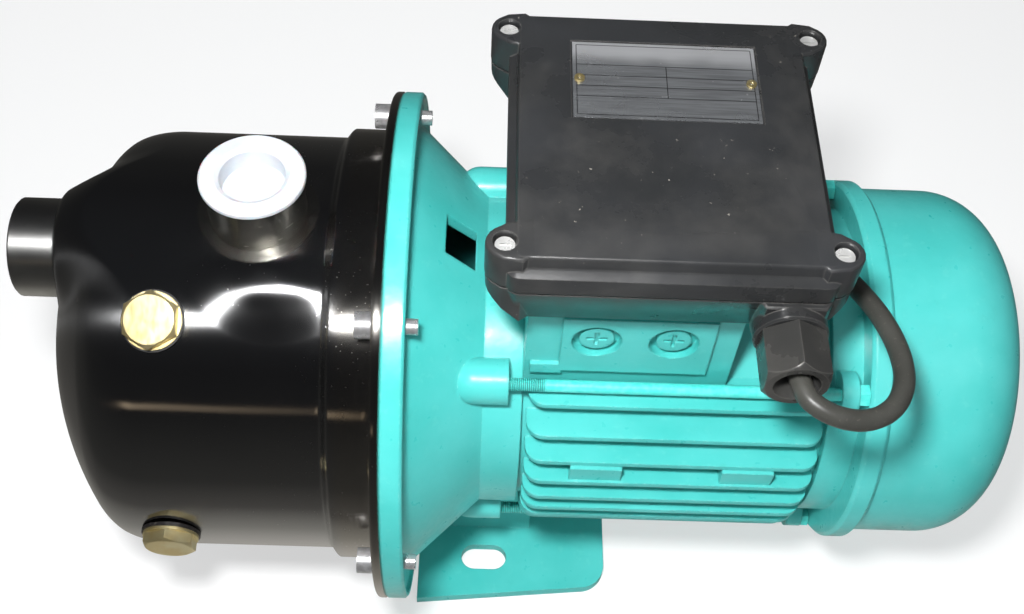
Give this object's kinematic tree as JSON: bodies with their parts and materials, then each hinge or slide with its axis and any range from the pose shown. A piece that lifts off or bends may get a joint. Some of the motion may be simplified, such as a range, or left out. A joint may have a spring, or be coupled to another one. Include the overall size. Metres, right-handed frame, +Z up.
{
  "type": "self-priming jet pump",
  "caption": "Self-priming water pump with a polished steel casing, a finned electric motor, a terminal box on top and a slotted foot.",
  "frame": {"origin": "underside of the foot, under the shaft, midway between the centres of the foot's two slots", "axes": "+X along the shaft from the suction port towards the fan cover, +Y away from the side with the cable gland, +Z up"},
  "size_m": [0.3997, 0.3746, 0.2518],
  "materials": {
    "polished_steel": "polished",
    "dull_steel": "satin",
    "zinc_steel": "satin",
    "teal_paint": "satin",
    "teal_alu": "satin",
    "brass": "polished",
    "white_plastic": "satin",
    "black_plastic": "satin",
    "grey_plastic": "matte",
    "impeller_plastic": "matte",
    "black_rubber": "matte",
    "cable_rubber": "matte",
    "seal_carbon": "satin",
    "copper": "satin",
    "laminations": "matte",
    "plate_alu": "satin"
  },
  "bodies": {
    "pump": {"pump_casing": "polished_steel", "suction_socket": "polished_steel", "discharge_socket": "polished_steel", "priming_boss": "dull_steel", "drain_boss": "dull_steel", "flange_screws": "zinc_steel", "motor_bracket": "teal_alu", "tie_rods": "zinc_steel", "motor_housing": "teal_alu", "pad_screws": "zinc_steel", "rear_shield": "teal_alu", "fan_cover": "teal_paint", "terminal_base": "black_plastic", "cover_gasket": "black_rubber", "terminal_cover": "black_plastic", "nameplate": "plate_alu", "nameplate_rivets": "brass", "cover_screws": "zinc_steel", "gland_nut": "black_plastic", "gland_seal": "black_rubber", "foot": "teal_paint", "seal_plate": "dull_steel", "casing_oring": "black_rubber", "seal_seat": "seal_carbon", "diffuser": "impeller_plastic", "ejector_body": "impeller_plastic", "ejector_nozzle": "impeller_plastic", "front_bearing_outer": "dull_steel", "rear_bearing_outer": "dull_steel", "wave_spring": "dull_steel", "stator_core": "laminations", "stator_windings": "copper", "capacitor": "white_plastic", "terminal_block": "white_plastic", "power_cable": "cable_rubber", "plug_lead": "cable_rubber", "cable_coil": "cable_rubber", "mains_plug": "black_plastic"},
    "rotor": {"shaft": "dull_steel", "rotor_core": "laminations", "rotor_end_rings": "plate_alu", "impeller": "impeller_plastic", "impeller_nut": "dull_steel", "seal_head": "dull_steel", "slinger": "black_rubber", "front_bearing_inner": "dull_steel", "rear_bearing_inner": "dull_steel", "cooling_fan": "grey_plastic"},
    "outlet_cap": {"discharge_cap": "white_plastic"},
    "filling_plug": {"priming_plug": "brass", "priming_seal": "black_rubber"},
    "draining_plug": {"drain_plug": "brass", "drain_seal": "black_rubber"}
  },
  "joints": [
    {"name": "rotor_spin", "type": "hinge", "parent": "pump", "child": "rotor", "pos_m": [-0.0402, 0, 0.112], "axis": [1, 0, 0], "continuous": true},
    {"name": "outlet_cap_pull", "type": "slide", "parent": "pump", "child": "outlet_cap", "axis": [0, 0, 1], "range_m": [0, 0.03]},
    {"name": "filling_plug_out", "type": "slide", "parent": "pump", "child": "filling_plug", "axis": [0, -0.5, 0.866], "range_m": [0, 0.02]},
    {"name": "draining_plug_out", "type": "slide", "parent": "pump", "child": "draining_plug", "axis": [0, -0.9945, -0.1045], "range_m": [0, 0.02]}
  ]
}
